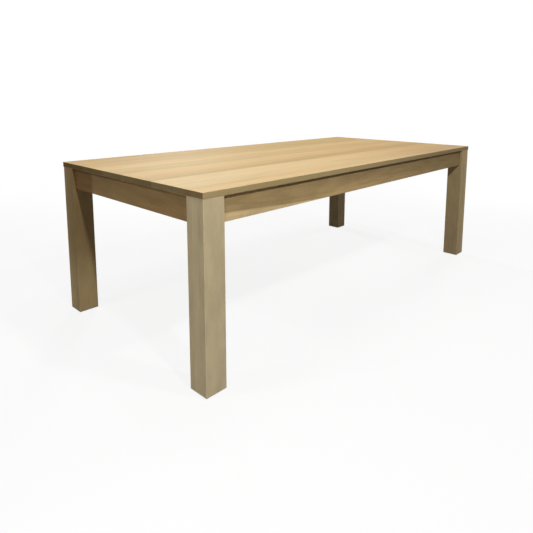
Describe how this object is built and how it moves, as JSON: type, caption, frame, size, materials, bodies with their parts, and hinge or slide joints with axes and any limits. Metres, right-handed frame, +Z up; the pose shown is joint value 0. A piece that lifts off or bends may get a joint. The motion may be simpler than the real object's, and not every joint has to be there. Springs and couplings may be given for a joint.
{
  "type": "dining table",
  "caption": "Rectangular parsons dining table in pale satin hardwood with flush square legs, set-back aprons and a plain plank top.",
  "frame": {"origin": "on the floor, under the middle of the top", "axes": "+X along the table's length, +Y across it to the back, +Z up"},
  "size_m": [2.286, 1.118, 0.762],
  "materials": {
    "top_wood": "satin lacquer",
    "leg_wood": "satin lacquer",
    "apron_wood": "satin lacquer",
    "frame_wood": "planed, bare",
    "plated_steel": "zinc plated",
    "screw_steel": "yellow zinc plated",
    "glide_nylon": "moulded"
  },
  "bodies": {
    "root": {"top_board_1": "top_wood", "top_board_2": "top_wood", "top_board_3": "top_wood", "top_board_4": "top_wood", "top_board_5": "top_wood", "top_board_6": "top_wood", "front_left_leg_outer_layer": "leg_wood", "front_left_leg_core_layer": "leg_wood", "front_left_leg_inner_layer": "leg_wood", "front_right_leg_outer_layer": "leg_wood", "front_right_leg_core_layer": "leg_wood", "front_right_leg_inner_layer": "leg_wood", "back_left_leg_outer_layer": "leg_wood", "back_left_leg_core_layer": "leg_wood", "back_left_leg_inner_layer": "leg_wood", "back_right_leg_outer_layer": "leg_wood", "back_right_leg_core_layer": "leg_wood", "back_right_leg_inner_layer": "leg_wood", "front_apron": "apron_wood", "back_apron": "apron_wood", "left_apron": "apron_wood", "right_apron": "apron_wood", "front_left_corner_brace": "frame_wood", "front_right_corner_brace": "frame_wood", "back_left_corner_brace": "frame_wood", "back_right_corner_brace": "frame_wood", "left_cross_rail": "frame_wood", "right_cross_rail": "frame_wood", "hanger_bolts": "plated_steel", "hanger_washers": "plated_steel", "hanger_nuts": "plated_steel", "top_clips": "plated_steel", "brace_screws": "screw_steel", "rail_screws": "screw_steel", "clip_screws": "screw_steel", "glide_nails": "screw_steel", "floor_glides": "glide_nylon"}
  },
  "joints": []
}
